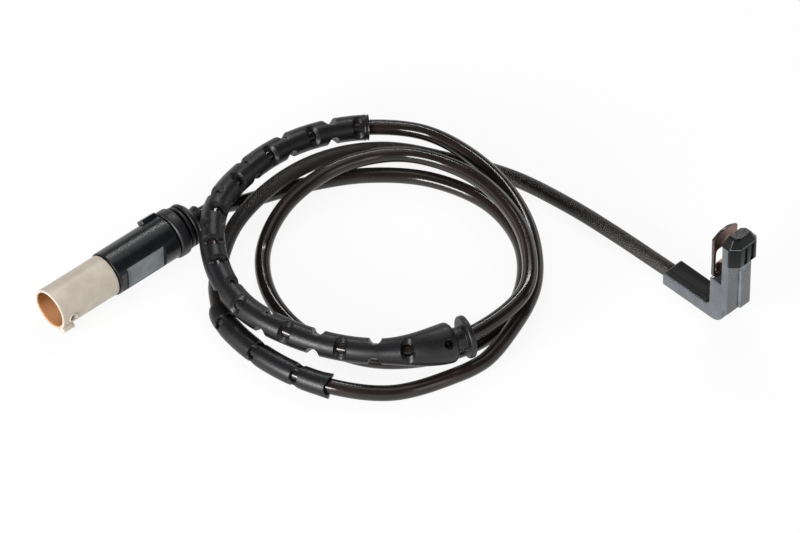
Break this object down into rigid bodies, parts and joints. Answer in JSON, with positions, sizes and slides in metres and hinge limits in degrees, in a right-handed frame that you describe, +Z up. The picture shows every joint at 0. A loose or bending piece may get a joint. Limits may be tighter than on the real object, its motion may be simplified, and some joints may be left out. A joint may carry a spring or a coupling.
{
  "type": "brake pad wear sensor",
  "caption": "Brake pad wear sensor: L-shaped head with a spring clip and a wear nose, a coiled lead with slotted guides and a grommet, and a round sealed plug.",
  "frame": {"origin": "middle of the head's footprint, on the surface that the sensor lies on", "axes": "+Z up along the head's leg and tower, +X along the head's arm from where the lead comes in to the tower, +Y to the left of that"},
  "size_m": [0.1701, 0.1699, 0.042],
  "materials": {
    "grey_moulding": "fine grained moulding",
    "black_moulding": "satin moulding",
    "spring_bronze": "rolled bronze strip, satin",
    "core_black": "extruded insulation",
    "core_brown": "extruded insulation",
    "copper_wire": "drawn copper wire",
    "braided_yarn": "rubber jacket under a fine braided yarn cover",
    "lead_jacket": "smooth extruded rubber, glossy",
    "guide_nylon": "moulded nylon, satin",
    "black_rubber": "moulded rubber",
    "natural_nylon": "uncoloured moulded nylon, satin",
    "seal_silicone": "moulded silicone",
    "tinned_brass": "tin plated"
  },
  "bodies": {
    "root": {"sensor_body": "grey_moulding", "contact_tower": "grey_moulding", "wear_nose": "black_moulding", "spring_clip": "spring_bronze", "head_core_1": "core_black", "head_core_2": "core_brown", "wear_loop": "copper_wire", "lead_braided": "braided_yarn", "lead_smooth": "lead_jacket", "short_guide": "guide_nylon", "long_guide": "guide_nylon", "guide_grommet": "black_rubber", "plug_housing": "natural_nylon", "lock_sleeve": "black_moulding", "terminal_holder": "black_moulding", "wire_seal": "seal_silicone", "pin_terminal_1": "tinned_brass", "pin_terminal_2": "tinned_brass", "plug_core_1": "core_black", "plug_core_2": "core_brown", "plug_boot": "black_rubber"}
  },
  "joints": []
}
